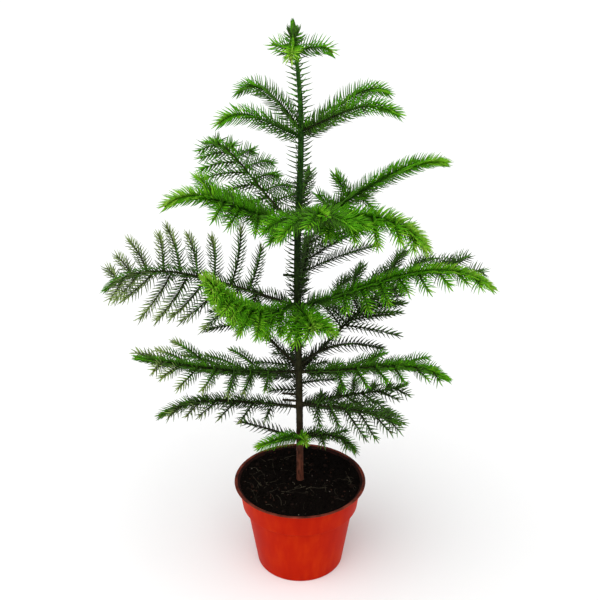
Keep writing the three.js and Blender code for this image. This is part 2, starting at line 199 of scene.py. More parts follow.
# Needles: spacing is the length of stem for each needle, reach a needle's length, lean its angle to the stem
# at its root, curl how far it turns towards the stem's tip by its own tip, in degrees, girth its radius and
# closing how far the last needles fold over the stem's tip. The tuft at the trunk's tip closes over its bud,
# and the collar spreads round the tuft.
Growth = namedtuple("Growth", "spacing reach lean curl girth closing")
ON_TRUNK = Growth(0.8, 13.2, 84, 20, 0.68, 0)
ON_BOUGH = Growth(0.6, 12.0, 72, 20, 0.58, 0)
ON_LIMB = Growth(0.65, 11.0, 62, 20, 0.58, 0.7)
ON_PLUME = Growth(0.42, 13.5, 66, 24, 0.62, 0.7)
ON_TWIG = Growth(0.68, 12.0, 58, 16, 0.6, 0.7)
ON_TUFT = Growth(0.075, 12.5, 26, 62, 0.6, 0.4)
ON_COLLAR = Growth(0.11, 11.5, 50, 36, 0.55, 0)
NEEDLE_START = 90  # angle round the stem of its first needle
NEEDLE_TURN = 144  # from each needle to the next round the stem, which sets them in five rows
NEEDLE_TURN_DRIFT = 0.25
NEEDLE_TURN_SCATTER = 5
NEEDLE_LEAN_SCATTER = 3
NEEDLE_CURL_SCATTER = 4
NEEDLE_CLOSING_POWER = 7
NEEDLE_SHORTENING = 0.3  # how much shorter the last needles of a stem are
NEEDLE_SHORTENING_POWER = 3
NEEDLE_LENGTH_SCATTER = 0.06
NEEDLE_ROOT = 0.5  # where a needle's root is, as a share of the stem's radius
NEEDLE_CORNERS = (90, 210, 330)
FEWEST_NEEDLES = 3
NEEDLE_RINGS = ((0.0, 1.0), (0.35, 0.92), (0.72, 0.56))  # share of the needle and of its girth there
NEEDLE_LIFT = 0.16  # how far needles turn up towards the light
NEEDLES_PER_PIECE = 12000

# Kinds of needle as seen in sRGB: those of each tone from old needles and painted shade to young, then those
# of olive tips
TONES = {
    "shade": (51, 57, 45),
    "dark": (57, 70, 44),
    "deep": (65, 95, 39),
    "mid": (73, 122, 30),
    "bright": (82, 154, 16),
    "fresh": (118, 181, 34),
    "young": (144, 189, 60),
}
OLIVES = {
    "moss": (92, 111, 62),
    "olive": (136, 158, 90),
}
KINDS = {**TONES, **OLIVES}
KIND_CHANGE = 0.16  # how much darker and lighter the patches on needles are
OLIVE_FROM = 0.42  # tone of a needle in an olive tip from which it is olive rather than moss
OLIVE_SCATTER = 0.15
TIP_GAIN = 0.62  # how much lighter young needles at a tip are, as a share of the limb's tone
TIP_POWER = 1.6
INNER_TIPS = 0.5  # share of that gain at the tips of twigs by the trunk
TONE_SCATTER = 0.06
TONE_LIT = 0.05  # painted light: how much lighter a needle on top of its stem is, and darker one beneath
YOUNG_FROM = 0.45  # tone of a limb from which its bark is young, so limbs darkened by painted shade also take the old bark
BOUGH_DULLER = 0.1  # how much duller needles at the foot of a bough are
TRUNK_TONES = (0.21, 0.53)
TUFT_TONES = (0.46, 0.56)
COLLAR_TONES = (0.38, 0.46)

# Mottled materials: where on the noise their dark and light patches start, their grain, and colours of bark
PATCH_ENDS = (0.3, 0.7)
GRAIN_FINER = 3
GRAIN_STRENGTH = 0.6
LIMB_BARKS = {"old": ((22, 24, 16), (50, 46, 28)), "young": ((28, 58, 14), (52, 88, 24))}  # dark, light

# Stage, with places in metres and angles in degrees
Lamp = namedtuple("Lamp", "name azimuth elevation strength angle")
LAMPS = (Lamp("key", 235, 58, 2.4, 85), Lamp("fill", 330, 35, 0.6, 90))
WORLD_STRENGTH = 0.45
FLOOR_RADIUS = 60
FLOOR_SIDES = 96
FLOOR_COLOUR = (0.92, 0.92, 0.92, 1)
CAMERA_SENSOR = 36
CAMERA_LENS = 48
CAMERA_PLACE = (0, -0.6257, 0.5027)
CAMERA_DIP = 21.25

# Limbs: the stem's slope starts at rise, gains lift evenly and loses droop mostly near its tip. Roll tilts
# the plane of the spray and vee raises both its sides. Left and right are the lengths of its longest twigs.
# Tone says how light its needles are, by their age and, on limbs at the back, by painted shade; crowd says
# how closely they stand, and core how much more so on the stem itself. Spread, sag, spacing, first and last
# place the twigs, shade paints shade on those on the left with darker needles and also thins them, and olive
# is the length of olive tip on the outermost. A tier says at what height it is, whether its limbs have a
# bough of their own, and how long its needles are against others.
Limb = namedtuple("Limb", "side azimuth length rise lift droop roll left right tone crowd core "
                  "spread vee sag spacing first last shade olive",
                  defaults=[1, 1, TWIG_SPREAD, 0, TWIG_SAG, TWIG_SPACING, TWIG_FIRST, TWIG_LAST, 0, 0])
Tier = namedtuple("Tier", "name height bare needle limbs")
# The low tones of the limbs at the back are painted shade as well as older needles.
TIERS = [
    Tier("tier1", 127, False, 0.72, [
        Limb("left_back", 165, 57, 12, 0, 10, 0, 0, 0, 0.16, crowd=0.5),
        Limb("left_front", 205, 40, 2, 0, 20, 0, 0, 0, 0.5, crowd=1.5),
        Limb("front", 283, 24, 34, 0, 40, 0, 0, 0, 0.54, crowd=1.7),
        Limb("right", 335, 58, 18, 0, 85, 0, 14, 14, 0.3, crowd=1.15),
    ]),
    Tier("tier2", 160, True, 0.78, [
        Limb("right", 15, 101, 15, -40, -40, 0, 34, 32, 0.28, crowd=0.9, core=1.4),
        Limb("back", 95, 90, 12, 5, 15, 0, 36, 36, 0.2),
        Limb("left", 184, 125, 8, 5, 50, 0, 26, 12, 0.28, crowd=0.8, core=1.3, olive=35),
        Limb("right_front", 331, 95, 5, 14, 36, 0, 36, 36, 0.3, crowd=0.85, core=1.4, spread=56, spacing=12,
             first=0.12),
    ]),
    Tier("tier3", 195, True, 0.78, [
        Limb("right", 346, 130, 2, 42, 78, 0, 38, 28, 0.42, crowd=1.2, core=2.4),
        Limb("right_back", 20, 84, 44, -92, -25, 0, 0, 0, 0.14, crowd=0.6),
        Limb("back_right", 42, 130, 26, 5, 20, 0, 40, 50, 0.27, crowd=0.8, vee=14, sag=0.2, spacing=6,
             first=0.45),
        Limb("back_left", 127, 118, 13, 10, 20, 0, 48, 40, 0.2, first=0.6),
        Limb("left", 202, 143, 7, 20, 8, 10, 36, 46, 0.36, crowd=1.1, core=2.2, spread=72, vee=8, olive=30),
    ]),
    Tier("tier4", 256, True, 0.95, [
        Limb("right", 350, 167, 15, 34, 92, -16, 52, 22, 0.54, crowd=1.4, core=1.9, spread=84, shade=0.26),
        Limb("back", 85, 125, 12, 10, 30, 0, 0, 80, 0.24, crowd=0.9, core=2, vee=30, spacing=14, first=0.3),
        Limb("left", 168, 181, 13, 8, 68, 36, 52, 56, 0.32, core=1.5, spread=86, sag=0, olive=85),
        Limb("left_front", 232, 124, -12, 88, 26, 0, 30, 18, 0.57, crowd=1.5, core=1.2, spread=42, sag=0.5,
             spacing=8),
        Limb("right_front", 286, 48, 0, 0, 8, 0, 24, 30, 0.54, crowd=1.6, spread=64, sag=0.35, spacing=9),
    ]),
    Tier("tier5", 326, True, 1, [
        Limb("right_back", 25, 147, 16, 30, 62, -40, 28, 14, 0.48, crowd=1.5, spread=95, spacing=13,
             first=0.22, last=0.46),
        Limb("back", 82, 80, 25, 0, 30, 0, 0, 0, 0.3, crowd=0.6),
        Limb("left_back", 134, 131, 17, 58, 88, 0, 38, 44, 0.42, sag=0.35, spacing=14),
        Limb("left_front", 206, 115, 2, 79, 114, 25, 24, 30, 0.52, crowd=1.5, spacing=12, last=0.72),
        Limb("front", 282, 98, 24, 0, 18, 0, 40, 38, 0.47, crowd=1.7, sag=0.35),
        Limb("right_front", 330, 116, 10, 12, 78, 0, 14, 28, 0.56, crowd=1.7, sag=0.4),
    ]),
    Tier("tier6", 398, False, 1, [
        Limb("right_back", 36, 96, 26, 18, 74, 0, 0, 0, 0.41),
        Limb("left_back", 138, 79, 44, -15, 70, 0, 0, 0, 0.4),
        Limb("left_front", 212, 74, 20, 28, 84, 0, 0, 0, 0.46),
        Limb("right_front", 322, 91, 23, 12, 62, 0, 0, 0, 0.43),
    ]),
    Tier("tier7", 461, False, 0.9, [
        Limb("right", 8, 28, 14, 0, 55, 0, 0, 0, 0.5),
        Limb("back", 90, 22, 20, 0, 0, 0, 0, 0, 0.4),
        Limb("left", 195, 17, 18, 0, 0, 0, 0, 0, 0.52),
        Limb("front", 262, 22, -10, 0, 40, 0, 0, 0, 0.62),
    ]),
]


# Growth rule

def scatter(seed):
    """Repeatable value between -1 and 1 for each seed."""
    wave = math.sin(seed * SCATTER_PITCH) * SCATTER_GAIN
    return 2 * (wave - math.floor(wave)) - 1


def unit(vectors):
    return vectors / np.linalg.norm(vectors, axis=-1, keepdims=True)


def across(axes):
    """Horizontal directions across these axes, or +X where an axis is upright."""
    flat = np.cross(axes, UP)
    flat[np.linalg.norm(flat, axis=-1) < UPRIGHT] = (1, 0, 0)
    return unit(flat)


def heading(azimuth, slope):
    turn = np.radians(azimuth)
    rise = np.radians(slope)
    return np.stack([math.cos(turn) * np.cos(rise), math.sin(turn) * np.cos(rise), np.sin(rise)], -1)


def trunk_share(height):
    return (height - SOIL_TOP) / (PLANT_TOP - SOIL_TOP)


def trunk_centre(height):
    t = trunk_share(np.asarray(height, float))
    sway = TRUNK_SWAY * np.sin(np.pi * (t / TRUNK_CROSSING) ** 2)
    return np.stack([-sway - TRUNK_LEAN * t ** TRUNK_LEAN_POWER, 0 * t, 0 * t + height], -1)


def trunk_radius(height):
    flare = ROOT_FLARE * np.exp((SOIL_TOP - height) / ROOT_FLARE_HEIGHT)
    return TRUNK_RADIUS - TRUNK_TAPER * trunk_share(height) ** TRUNK_TAPER_POWER + flare


class Stem:
    """A limb, twig or stretch of trunk: its line, its radii, and its needles' tones and growth.

    Radii and tones are those at its foot and its tip, and olive is the length of its olive tip.
    """

    def __init__(self, point, tangent, length, radii, tones, growth, olive=0):
        self.point = point
        self.tangent = tangent
        self.length = length
        self.radii = radii
        self.tones = tones
        self.growth = growth
        self.olive = olive

    def radius(self, t):
        return self.radii[0] + (self.radii[1] - self.radii[0]) * t

    def stretch(self, start, end, radii, tones, growth):
        """The same line from one share of its length to another."""
        def share(t):
            return start + (end - start) * np.asarray(t, float)
        return Stem(lambda t: self.point(share(t)), lambda t: self.tangent(share(t)),
                    self.length * (end - start), radii, tones, growth)


def grown_on(tier, growth, crowd):
    """Growth with this tier's length of needle, crowded by a factor."""
    return growth._replace(spacing=growth.spacing / crowd, reach=growth.reach * tier.needle)


def limb_stem(tier, number, limb):
    """Whole line of a limb from the trunk's middle to its tip, and how thick limbs are at its height."""
    height = tier.height + (WHORL_STEP if number % 2 else -WHORL_STEP)
    root = trunk_centre(height)
    middles = (np.arange(LIMB_PIECES) + 0.5) / LIMB_PIECES

    def tangent(s):
        return heading(limb.azimuth, limb.rise + limb.lift * s - limb.droop * s ** DROOP_POWER)

    def point(s):
        s = np.asarray(s, float)[..., None]
        return root + limb.length * s * tangent(s * middles).mean(-2)

    thickness = float(trunk_radius(height)) / TRUNK_RADIUS
    radii = (thickness * STEM_RADIUS, thickness * STEM_TIP_RADIUS)
    kind = ON_LIMB if max(limb.left, limb.right) > PLUME_TWIG else ON_PLUME
    growth = grown_on(tier, kind, limb.crowd * limb.core)
    tones = (limb.tone, limb.tone * (1 + TIP_GAIN))
    return Stem(point, tangent, limb.length, radii, tones, growth), thickness


def twig_stem(tier, stem, limb, s, side, length, spread, tilt, shade):
    """A twig: it leaves the limb at its spread and curls forward, in the tilted plane of the spray."""
    base = stem.point(np.array(s))
    along = stem.tangent(np.array(s))
    level = across(along[None])[0]
    above = np.cross(level, along)
    turn = math.radians(limb.roll + side * (limb.vee + tilt))
    outward = level * math.cos(turn) + above * math.sin(turn)

    def towards(angle, reach):
        angle = math.radians(angle)
        return base + along * reach * math.cos(angle) + outward * side * reach * math.sin(angle)

    middle = towards(spread + TWIG_CURL, length / 2)
    tip = towards(spread, length) - limb.sag * length * UP

    def point(t):
        t = np.asarray(t, float)[..., None]
        return (1 - t) ** 2 * base + 2 * t * (1 - t) * middle + t ** 2 * tip

    def tangent(t):
        t = np.asarray(t, float)[..., None]
        return unit((1 - t) * (middle - base) + t * (tip - middle))

    # Painted shade: twigs on the shaded side take a darker tone.
    tone = limb.tone - shade
    tones = (tone, tone * (1 + TIP_GAIN * (INNER_TIPS + (1 - INNER_TIPS) * s)))
    return Stem(point, tangent, length, (TWIG_RADIUS, TWIG_TIP_RADIUS), tones,
                grown_on(tier, ON_TWIG, limb.crowd * (1 - shade)), limb.olive * s ** 2)


def twigs_of(tier, number, limb, stem):
    """Every side twig of a limb."""
    per_side = math.floor(limb.length * (limb.last - limb.first) / limb.spacing)
    twigs = []
    for i in range(per_side):
        for side in (-1, 1):
            seed = tier.height + SEED_PER_LIMB * number + SEED_PER_TWIG * i + side
            s = limb.first + (limb.last - limb.first) * (i + TWIG_STAGGER * (1 + side)) / per_side
            inner = min(1, TWIG_INNER_SHARE + TWIG_INNER_GAIN * s)
            outer = min(1, TWIG_OUTER_SHARE + TWIG_OUTER_GAIN * (1 - s))
            longest = limb.right if side > 0 else limb.left
            length = longest * inner * outer * (1 + TWIG_LENGTH_SCATTER * scatter(seed))
            spread = limb.spread - TWIG_CLOSING * s + TWIG_SPREAD_SCATTER * scatter(seed + SPREAD_SEED)
            tilt = TWIG_TILT_SCATTER * scatter(seed + TILT_SEED)
            # Painted shade on the twigs of the left side, which also carry fewer needles.
            shade = limb.shade if side < 0 else 0
            if length > TWIG_SHORTEST:
                twigs.append(twig_stem(tier, stem, limb, s, side, length, spread, tilt, shade))
    return twigs


# Meshes

class Parts:
    """Points and faces of many shapes that become one mesh."""

    def __init__(self):
        self.points = []
        self.faces = {3: [], 4: []}
        self.count = 0

    def add(self, points, *faces):
        self.points.append(points)
        for corners in faces:
            self.faces[corners.shape[1]].append(corners + self.count)
        self.count += len(points)

    def mesh(self, name):
        arrays = [np.concatenate(found) for found in self.faces.values() if found]
        corners = np.concatenate([array.ravel() for array in arrays])
        sizes = np.concatenate([np.full(len(array), array.shape[1]) for array in arrays])
        mesh = bpy.data.meshes.new(name)
        mesh.vertices.add(self.count)
        mesh.vertices.foreach_set("co", (np.concatenate(self.points) * MM).astype(np.float32).ravel())
        mesh.loops.add(len(corners))
        mesh.loops.foreach_set("vertex_index", corners.astype(np.int32))
        mesh.polygons.add(len(sizes))
        mesh.polygons.foreach_set("loop_start", (np.cumsum(sizes) - sizes).astype(np.int32))
        mesh.polygons.foreach_set("use_smooth", np.ones(len(sizes), bool))
        mesh.update(calc_edges=True)
        return mesh


def make_piece(name, mesh, materials, nodes=()):
    """A piece of the plant that rides on its only body."""
    mesh.materials.clear()
    for material in materials:
        mesh.materials.append(material)
    piece = bpy.data.objects.new(name, mesh)
    bpy.context.scene.collection.objects.link(piece)
    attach(piece, "root")
    if nodes:
        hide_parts(*nodes)
    return piece


def ring_angles(sides):
    """Angles of points spaced evenly round a ring."""
    return 2 * np.pi * np.arange(sides) / sides


def add_skin(parts, shell, foot, tip):
    """Closed skin over rings of points, with a point in the middle of each end."""
    rings, sides, _ = shell.shape
    here = np.arange(rings * sides).reshape(rings, sides)
    beside = np.roll(here, -1, 1)
    walls = np.stack([here[:-1], beside[:-1], beside[1:], here[1:]], -1).reshape(-1, 4)
    bottom = np.stack([beside[0], here[0], np.full(sides, here.size)], -1)
    top = np.stack([here[-1], beside[-1], np.full(sides, here.size + 1)], -1)
    parts.add(np.concatenate([shell.reshape(-1, 3), [foot, tip]]), walls, bottom, top)


def add_tube(parts, centres, axes, radii):
    """Closed tube with rings across a line. Radii has a row for each ring and a column for each side."""
    wide = across(axes)
    high = np.cross(axes, wide)
    turn = ring_angles(radii.shape[1])
    spokes = wide[:, None] * np.cos(turn)[:, None] + high[:, None] * np.sin(turn)[:, None]
    add_skin(parts, centres[:, None] + spokes * radii[..., None], centres[0], centres[-1])


def lathe(profile, sides):
    """Shape turned about the Z axis from a profile of radius and height that starts and ends on the axis."""
    parts = Parts()
    inner = np.array(profile[1:-1], float)
    turn = ring_angles(sides)
    shell = np.stack([inner[:, :1] * np.cos(turn), inner[:, :1] * np.sin(turn),
                      np.repeat(inner[:, 1:], sides, 1)], -1)
    add_skin(parts, shell, (0, 0, profile[0][1]), (0, 0, profile[-1][1]))
    return parts


# Needles

def needles_of(stem):
    """Roots, first and last directions, widths across, lengths, girths and kinds of a stem's needles."""
    growth = stem.growth
    count = max(FEWEST_NEEDLES, int(stem.length / growth.spacing))
    t = (np.arange(count) + draw.random()) / count
    axis = stem.tangent(t)
    wide = across(axis)
    step = NEEDLE_TURN + draw.normal(0, NEEDLE_TURN_DRIFT)
    turn = NEEDLE_START + step * np.arange(count) + draw.normal(0, NEEDLE_TURN_SCATTER, count)
    turn = np.radians(turn)[:, None]
    out = wide * np.cos(turn) + np.cross(wide, axis) * np.sin(turn)
    gather = 1 - growth.closing * t ** NEEDLE_CLOSING_POWER
    lean = np.radians((growth.lean + draw.normal(0, NEEDLE_LEAN_SCATTER, count)) * gather)[:, None]
    curl = np.radians(growth.curl + draw.normal(0, NEEDLE_CURL_SCATTER, count))[:, None]
    end = lean - curl * gather[:, None]
    first = axis * np.cos(lean) + out * np.sin(lean)
    last = unit(axis * np.cos(end) + out * np.sin(end) + NEEDLE_LIFT * UP)
    shortened = 1 - NEEDLE_SHORTENING * t ** NEEDLE_SHORTENING_POWER
    reach = growth.reach * shortened * (1 + draw.normal(0, NEEDLE_LENGTH_SCATTER, count))
    root = stem.point(t) + out * (NEEDLE_ROOT * stem.radius(t))[:, None]
    tone = stem.tones[0] + (stem.tones[1] - stem.tones[0]) * t ** TIP_POWER
    # Painted light: needles on top of the stem take lighter tones, and those beneath take darker ones.
    tone = tone + draw.normal(0, TONE_SCATTER, count) + TONE_LIT * out[:, 2]
    kind = np.clip((tone * len(TONES)).astype(int), 0, len(TONES) - 1)
    in_olive_tip = (1 - t) * stem.length < stem.olive * (1 + draw.normal(0, OLIVE_SCATTER, count))
    kind = np.where(in_olive_tip, len(TONES) + (tone > OLIVE_FROM), kind)
    return root, first, last, np.cross(axis, out), reach, np.full(count, growth.girth), kind


def add_needles(parts, root, first, last, wide, reach, girth):
    """Curved three-sided needles, each closed at its root and ending in a point."""
    middle = root + first * reach[:, None] / 2
    tip = middle + last * reach[:, None] / 2
    rings = []
    for share, width in NEEDLE_RINGS:
        centre = (1 - share) ** 2 * root + 2 * share * (1 - share) * middle + share ** 2 * tip
        along = unit((1 - share) * (middle - root) + share * (tip - middle))
        high = unit(np.cross(along, wide))
        radius = (width * girth)[:, None]
        for turn in np.radians(NEEDLE_CORNERS):
            rings.append(centre + radius * (np.cross(high, along) * math.cos(turn) + high * math.sin(turn)))
    points = np.stack([*rings, tip], 1)
    starts = points.shape[1] * np.arange(len(root))[:, None, None]
    ring = np.array([[0, 1, 4, 3], [1, 2, 5, 4], [2, 0, 3, 5]])
    walls = np.concatenate([ring, ring + 3])
    ends = np.array([[6, 7, 9], [7, 8, 9], [8, 6, 9], [0, 2, 1]])
    parts.add(points.reshape(-1, 3), (starts + walls).reshape(-1, 4), (starts + ends).reshape(-1, 3))


# Materials

def srgb(*levels):
    """Linear colour of levels from 0 to 255 as seen on a screen."""
    level = np.array(levels) / 255
    linear = np.where(level <= 0.04045, level / 12.92, ((level + 0.055) / 1.055) ** 2.4)
    return (*map(float, linear), 1.0)


def new_material(name, **sockets):
    """A material whose shader has these constant values, with its nodes, links and shader."""
    material = bpy.data.materials.new(name)
    material.use_nodes = True
    tree = material.node_tree
    shader = tree.nodes["Principled BSDF"]
    for socket, value in sockets.items():
        shader.inputs[socket.replace("_", " ")].default_value = value
    return material, tree.nodes, tree.links, shader


def object_place(nodes, links, stretch=(1, 1, 1)):
    """The surface point in the object's own frame, stretched."""
    place = nodes.new("ShaderNodeTexCoord")
    mapping = nodes.new("ShaderNodeMapping")
    mapping.inputs["Scale"].default_value = stretch
    links.new(place.outputs["Object"], mapping.inputs["Vector"])
    return mapping.outputs["Vector"]


def noise(nodes, links, place, scale, detail=3.0):
    node = nodes.new("ShaderNodeTexNoise")
    node.inputs["Scale"].default_value = scale
    node.inputs["Detail"].default_value = detail
    links.new(place, node.inputs["Vector"])
    return node.outputs["Fac"]


def ramp(nodes, links, value, stops):
    """Colours at places between 0 and 1."""
    node = nodes.new("ShaderNodeValToRGB")
    elements = node.color_ramp.elements
    while len(elements) < len(stops):
        elements.new(0.5)
    for element, (place, colour) in zip(elements, stops):
        element.position = place
        element.color = colour
    links.new(value, node.inputs["Fac"])
    return node.outputs["Color"]


def spread(nodes, links, value, low, high):
    """Value from 0 to 1 brought between low and high."""
    node = nodes.new("ShaderNodeMapRange")
    node.inputs["To Min"].default_value = low
    node.inputs["To Max"].default_value = high
    links.new(value, node.inputs["Value"])
    return node.outputs["Result"]


def add_share(nodes, links, value, share, base):
    """This share of a value on top of a base."""
    node = nodes.new("ShaderNodeMath")
    node.operation = "MULTIPLY_ADD"
    node.inputs[1].default_value = share
    links.new(value, node.inputs[0])
    links.new(base, node.inputs[2])
    return node.outputs["Value"]


def bump(nodes, links, value, shader, strength, depth):
    node = nodes.new("ShaderNodeBump")
    node.inputs["Strength"].default_value = strength
    node.inputs["Distance"].default_value = depth
    links.new(value, node.inputs["Height"])
    links.new(node.outputs["Normal"], shader.inputs["Normal"])


def mottled(name, dark, light, scale, rough, depth, **sockets):
    """Material that varies between two colours, in its roughness and in its relief."""
    material, nodes, links, shader = new_material(name, **sockets)
    place = object_place(nodes, links)
    patches = noise(nodes, links, place, scale)
    colour = ramp(nodes, links, patches, list(zip(PATCH_ENDS, (dark, light))))
    links.new(colour, shader.inputs["Base Color"])
    grain = noise(nodes, links, place, GRAIN_FINER * scale)
    links.new(spread(nodes, links, grain, *rough), shader.inputs["Roughness"])
    bump(nodes, links, grain, shader, GRAIN_STRENGTH, depth)
    return material


def shades(levels, change):
    """A colour's darker and lighter shade."""
    return [srgb(*(min(255, level * factor) for level in levels)) for factor in (1 - change, 1 + change)]


def needle_material(kind):
    return mottled(f"needles_{kind}", *shades(KINDS[kind], KIND_CHANGE), scale=420, rough=(0.6, 0.85),
                   depth=0.00012, Specular_IOR_Level=0.08)


def limb_material(age):
    dark, light = LIMB_BARKS[age]
    return mottled(f"limb_bark_{age}", srgb(*dark), srgb(*light), scale=600, rough=(0.7, 0.95), depth=0.0003,
                   Specular_IOR_Level=0.1)


def bud_material():
    return mottled("bud_skin", srgb(66, 58, 28), srgb(118, 114, 50), scale=500, rough=(0.5, 0.8),
                   depth=0.0001, Specular_IOR_Level=0.1)


def bark_material():
    """Red-brown at the foot, dark brown above and green where the bark is young."""
    material, nodes, links, shader = new_material("trunk_bark", Specular_IOR_Level=0.1)
    split = nodes.new("ShaderNodeSeparateXYZ")
    links.new(object_place(nodes, links), split.inputs["Vector"])
    flecks = noise(nodes, links, object_place(nodes, links, stretch=(1, 1, 0.35)), scale=700)
    height = nodes.new("ShaderNodeMapRange")
    height.inputs["From Min"].default_value = SOIL_TOP * MM
    height.inputs["From Max"].default_value = PLANT_TOP * MM
    links.new(split.outputs["Z"], height.inputs["Value"])
    shifted = add_share(nodes, links, flecks, share=0.16, base=height.outputs["Result"])
    colour = ramp(nodes, links, shifted, [
        (0.04, srgb(96, 52, 38)), (0.15, srgb(76, 42, 30)), (0.22, srgb(40, 32, 20)),
        (0.5, srgb(30, 38, 14)), (0.7, srgb(26, 50, 12)), (1.0, srgb(40, 84, 20))])
    strokes = noise(nodes, links, object_place(nodes, links, stretch=(1, 1, 0.4)), scale=460, detail=2)
    streaked = nodes.new("ShaderNodeVectorMath")
    streaked.operation = "SCALE"
    links.new(colour, streaked.inputs["Vector"])
    links.new(spread(nodes, links, strokes, low=-0.4, high=2.4), streaked.inputs["Scale"])
    links.new(streaked.outputs["Vector"], shader.inputs["Base Color"])
    links.new(spread(nodes, links, flecks, low=0.5, high=0.85), shader.inputs["Roughness"])
    bump(nodes, links, flecks, shader, strength=0.7, depth=0.0003)
    return material


def pot_material():
    """Orange-red moulded plastic with faint upright streaks and a dulled, scuffed skin."""
    material, nodes, links, shader = new_material("pot_plastic", Specular_IOR_Level=0.03)
    streaks = noise(nodes, links, object_place(nodes, links, stretch=(1, 1, 0.16)), scale=150, detail=4)
    clouds = noise(nodes, links, object_place(nodes, links), scale=34, detail=4)
    mixed = add_share(nodes, links, streaks, share=0.5, base=spread(nodes, links, clouds, low=0.0, high=0.5))
    colour = ramp(nodes, links, mixed, [
        (0.34, srgb(170, 22, 1)), (0.5, srgb(180, 29, 1)), (0.66, srgb(191, 44, 2))])
    links.new(colour, shader.inputs["Base Color"])
    grain = noise(nodes, links, object_place(nodes, links), scale=1400, detail=2)
    links.new(spread(nodes, links, clouds, low=0.36, high=0.58), shader.inputs["Roughness"])
    bump(nodes, links, grain, shader, strength=0.25, depth=0.00015)
    return material


def stain_and_shade_material(name, dark, light, scale):
    """Plastic darkened partly by soil stain and partly by painted shade."""
    return mottled(name, dark, light, scale=scale, rough=(0.6, 0.9), depth=0.0003, Specular_IOR_Level=0.1)


def soil_material(name, dark, light, scale, depth, specular=0.03):
    return mottled(name, dark, light, scale=scale, rough=(0.8, 1.0), depth=depth, Specular_IOR_Level=specular)


def fibre_material():
    return mottled("fibres", srgb(26, 22, 18), srgb(88, 80, 66), scale=60, rough=(0.6, 0.9), depth=0.0002,
                   Specular_IOR_Level=0.05)


# Pot and soil

def arc(centre, radius, start, end, steps):
    """Points on an arc of a profile, with angles in degrees."""
    turn = np.radians(np.linspace(start, end, steps))
    return [(centre[0] + radius * math.cos(a), centre[1] + radius * math.sin(a)) for a in turn]


def pot_profile():
    lip = LIP_THICKNESS / 2
    return [
        (0, 0),
        *arc((FOOT_RADIUS - FOOT_ROUND, FOOT_ROUND), FOOT_ROUND, 270, 360, 5),
        (BODY_TOP_RADIUS, COLLAR_BOTTOM),
        *arc((COLLAR_BOTTOM_RADIUS - lip, COLLAR_BOTTOM + lip), lip, 270, 360, 5),
        (COLLAR_TOP_RADIUS, COLLAR_TOP),
        (RIM_RADIUS - lip, POT_HEIGHT - LIP_THICKNESS),
        *arc((RIM_RADIUS - lip, POT_HEIGHT - lip), lip, 300, 450, 7),
        (RIM_RADIUS - 2 * LIP_THICKNESS, POT_HEIGHT - LIP_THICKNESS / 4),
        (COLLAR_TOP_RADIUS - POT_WALL, COLLAR_TOP + POT_WALL / 2),
        (COLLAR_BOTTOM_RADIUS - POT_WALL, COLLAR_BOTTOM + 1.5 * POT_WALL),
        (BODY_TOP_RADIUS - POT_WALL, COLLAR_BOTTOM + POT_WALL),
        (FOOT_RADIUS - POT_WALL, POT_FLOOR),
        (0, POT_FLOOR),
    ]


def drain_cutter():
    """Round pegs where the drain holes are."""
    mesh = bpy.data.meshes.new("drain_holes")
    work = bmesh.new()
    for turn in ring_angles(DRAIN_HOLES):
        made = bmesh.ops.create_cone(work, cap_ends=True, segments=DRAIN_SIDES, depth=4 * POT_FLOOR * MM,
                                     radius1=DRAIN_RADIUS * MM, radius2=DRAIN_RADIUS * MM)
        place = (DRAIN_CIRCLE * MM * math.cos(turn), DRAIN_CIRCLE * MM * math.sin(turn), 0)
        bmesh.ops.translate(work, verts=made["verts"], vec=place)
    work.to_mesh(mesh)
    work.free()
    return bpy.data.objects.new("drain_holes", mesh)


def drained(shell, cutter):
    """Mesh of the pot's shell with its drain holes cut."""
    for item in (shell, cutter):
        bpy.context.scene.collection.objects.link(item)
    cut = shell.modifiers.new("drain_holes", "BOOLEAN")
    cut.object = cutter
    cut.operation = "DIFFERENCE"
    mesh = bpy.data.meshes.new_from_object(shell.evaluated_get(bpy.context.evaluated_depsgraph_get()))
    for item in (shell, cutter):
        bpy.data.objects.remove(item)
    mesh.set_sharp_from_angle(angle=math.radians(SHARP_EDGE))
    return mesh


def make_pot():
    """Pot of clean plastic, with a lip and inside darkened by soil stain and by painted shade."""
    shell = bpy.data.objects.new("pot_shell", lathe(pot_profile(), POT_SIDES).mesh("pot_shell"))
    mesh = drained(shell, drain_cutter())
    # The inside and the lip are much darker than the pot: soil stain together with painted shade.
    inside = stain_and_shade_material("pot_inside", srgb(13, 7, 5), srgb(50, 18, 12), scale=260)
    lip = stain_and_shade_material("pot_lip", srgb(52, 22, 16), srgb(136, 60, 44), scale=110)
    make_piece("nursery_pot", mesh, [pot_material(), inside, lip], ["pot"])
    plain, within, on_lip = range(3)
    # Faces that look inward, and level faces on the lip and above the collar, take the soil stain with
    # painted shade.
    for face in mesh.polygons:
        away = math.hypot(face.center.x, face.center.y)
        inward = -(face.normal.x * face.center.x + face.normal.y * face.center.y)
        face.material_index = within if inward > INSIDE_SLOPE * away else plain
        if face.normal.z > LEVEL_SLOPE and away > (RIM_RADIUS - 2 * LIP_THICKNESS) * MM:
            face.material_index = on_lip
        elif face.normal.z > LEVEL_SLOPE and face.center.z > COLLAR_TOP * MM:
            face.material_index = within


def soil_height(radius, turn):
    """Lumpy surface of the soil, level at the pot's wall and heaped at the trunk."""
    heap = SOIL_EDGE + (SOIL_TOP - SOIL_EDGE) * np.exp(-(radius / SOIL_SHOULDER) ** 2)
    x = radius * np.cos(turn)
    y = radius * np.sin(turn)
    lumps = 0
    for pitch, share in SOIL_WAVES:
        bend = SOIL_BEND * np.sin(y / pitch * SOIL_BEND_RIPPLE)
        ridges = np.sin(x / pitch * SOIL_RIPPLES[0] + bend)
        lumps = lumps + share * ridges * np.sin(y / pitch * SOIL_RIPPLES[1] + pitch)
    return heap + SOIL_LUMP * lumps


